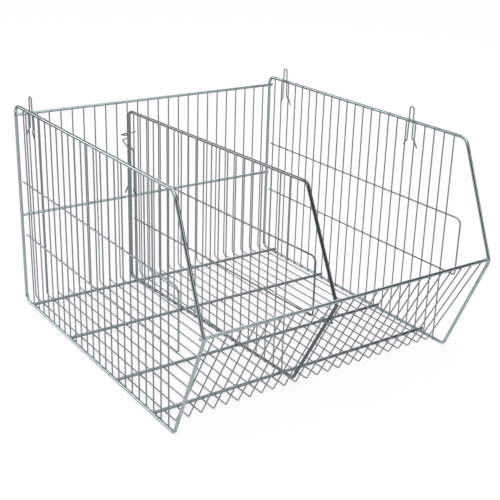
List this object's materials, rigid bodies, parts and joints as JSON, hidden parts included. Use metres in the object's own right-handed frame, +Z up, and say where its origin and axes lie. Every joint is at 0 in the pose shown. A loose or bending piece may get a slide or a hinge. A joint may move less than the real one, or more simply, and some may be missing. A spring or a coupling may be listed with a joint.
{
  "type": "wire dump bin",
  "caption": "Stacking wire dump bin: bent side frames, a mesh with an open sloping front, a loose clipped divider and raised stacking loops on the top rails.",
  "frame": {"origin": "on the ground, in the middle of the overall width and depth", "axes": "+Z up, -Y towards the open front, +X towards the right side as seen from the front"},
  "size_m": [0.6, 0.684, 0.4362],
  "materials": {
    "frame_wire": "bright zinc plating over drawn steel wire",
    "mesh_wire": "bright zinc plating over thin steel wire",
    "divider_wire": "bright zinc plating, a little darker",
    "clip_wire": "plated spring wire"
  },
  "bodies": {
    "basket": {"left_side_frame": "frame_wire", "left_side_wires": "mesh_wire", "left_side_rib": "mesh_wire", "right_side_frame": "frame_wire", "right_side_wires": "mesh_wire", "right_side_rib": "mesh_wire", "back_top_bar": "frame_wire", "back_middle_bar": "frame_wire", "lip_bar": "frame_wire", "floor_bar_rear": "mesh_wire", "floor_bar_inner_rear": "mesh_wire", "floor_bar_inner_front": "mesh_wire", "floor_bar_front": "mesh_wire", "mesh_wire_01": "mesh_wire", "mesh_wire_02": "mesh_wire", "mesh_wire_03": "mesh_wire", "mesh_wire_04": "mesh_wire", "mesh_wire_05": "mesh_wire", "mesh_wire_06": "mesh_wire", "mesh_wire_07": "mesh_wire", "mesh_wire_08": "mesh_wire", "mesh_wire_09": "mesh_wire", "mesh_wire_10": "mesh_wire", "mesh_wire_11": "mesh_wire", "mesh_wire_12": "mesh_wire", "mesh_wire_13": "mesh_wire", "mesh_wire_14": "mesh_wire", "mesh_wire_15": "mesh_wire", "mesh_wire_16": "mesh_wire", "mesh_wire_17": "mesh_wire", "mesh_wire_18": "mesh_wire", "mesh_wire_19": "mesh_wire", "mesh_wire_20": "mesh_wire", "mesh_wire_21": "mesh_wire", "mesh_wire_22": "mesh_wire", "mesh_wire_23": "mesh_wire", "mesh_wire_24": "mesh_wire"},
    "divider": {"divider_frame": "divider_wire", "divider_wires": "divider_wire", "divider_rib": "divider_wire"},
    "stacking_clip_left_rear": {"stacking_clip_left_rear": "clip_wire"},
    "stacking_clip_left_front": {"stacking_clip_left_front": "clip_wire"},
    "stacking_clip_right_rear": {"stacking_clip_right_rear": "clip_wire"},
    "stacking_clip_right_front": {"stacking_clip_right_front": "clip_wire"},
    "divider_rear_clip": {"divider_rear_clip": "clip_wire"},
    "divider_front_clip": {"divider_front_clip": "clip_wire"}
  },
  "joints": [
    {"name": "divider_lift", "type": "slide", "parent": "basket", "child": "divider", "axis": [0, 0, 1], "range_m": [0, 0.268]},
    {"name": "rear_clip_turn", "type": "hinge", "parent": "basket", "child": "divider_rear_clip", "pos_m": [-0.0605, 0.33724, 0.316], "axis": [0, 0, -1], "range_deg": [0, 45]},
    {"name": "front_clip_turn", "type": "hinge", "parent": "basket", "child": "divider_front_clip", "pos_m": [-0.0605, -0.31092, 0.15406], "axis": [0, 0.4855, -0.8743], "range_deg": [0, 60]},
    {"name": "left_rear_clip_slide", "type": "slide", "parent": "basket", "child": "stacking_clip_left_rear", "axis": [0, 0, 1], "range_m": [-0.03, 0.025]},
    {"name": "left_front_clip_slide", "type": "slide", "parent": "basket", "child": "stacking_clip_left_front", "axis": [0, 0, 1], "range_m": [-0.03, 0.025]},
    {"name": "right_rear_clip_slide", "type": "slide", "parent": "basket", "child": "stacking_clip_right_rear", "axis": [0, 0, 1], "range_m": [-0.03, 0.025]},
    {"name": "right_front_clip_slide", "type": "slide", "parent": "basket", "child": "stacking_clip_right_front", "axis": [0, 0, 1], "range_m": [-0.03, 0.025]}
  ]
}
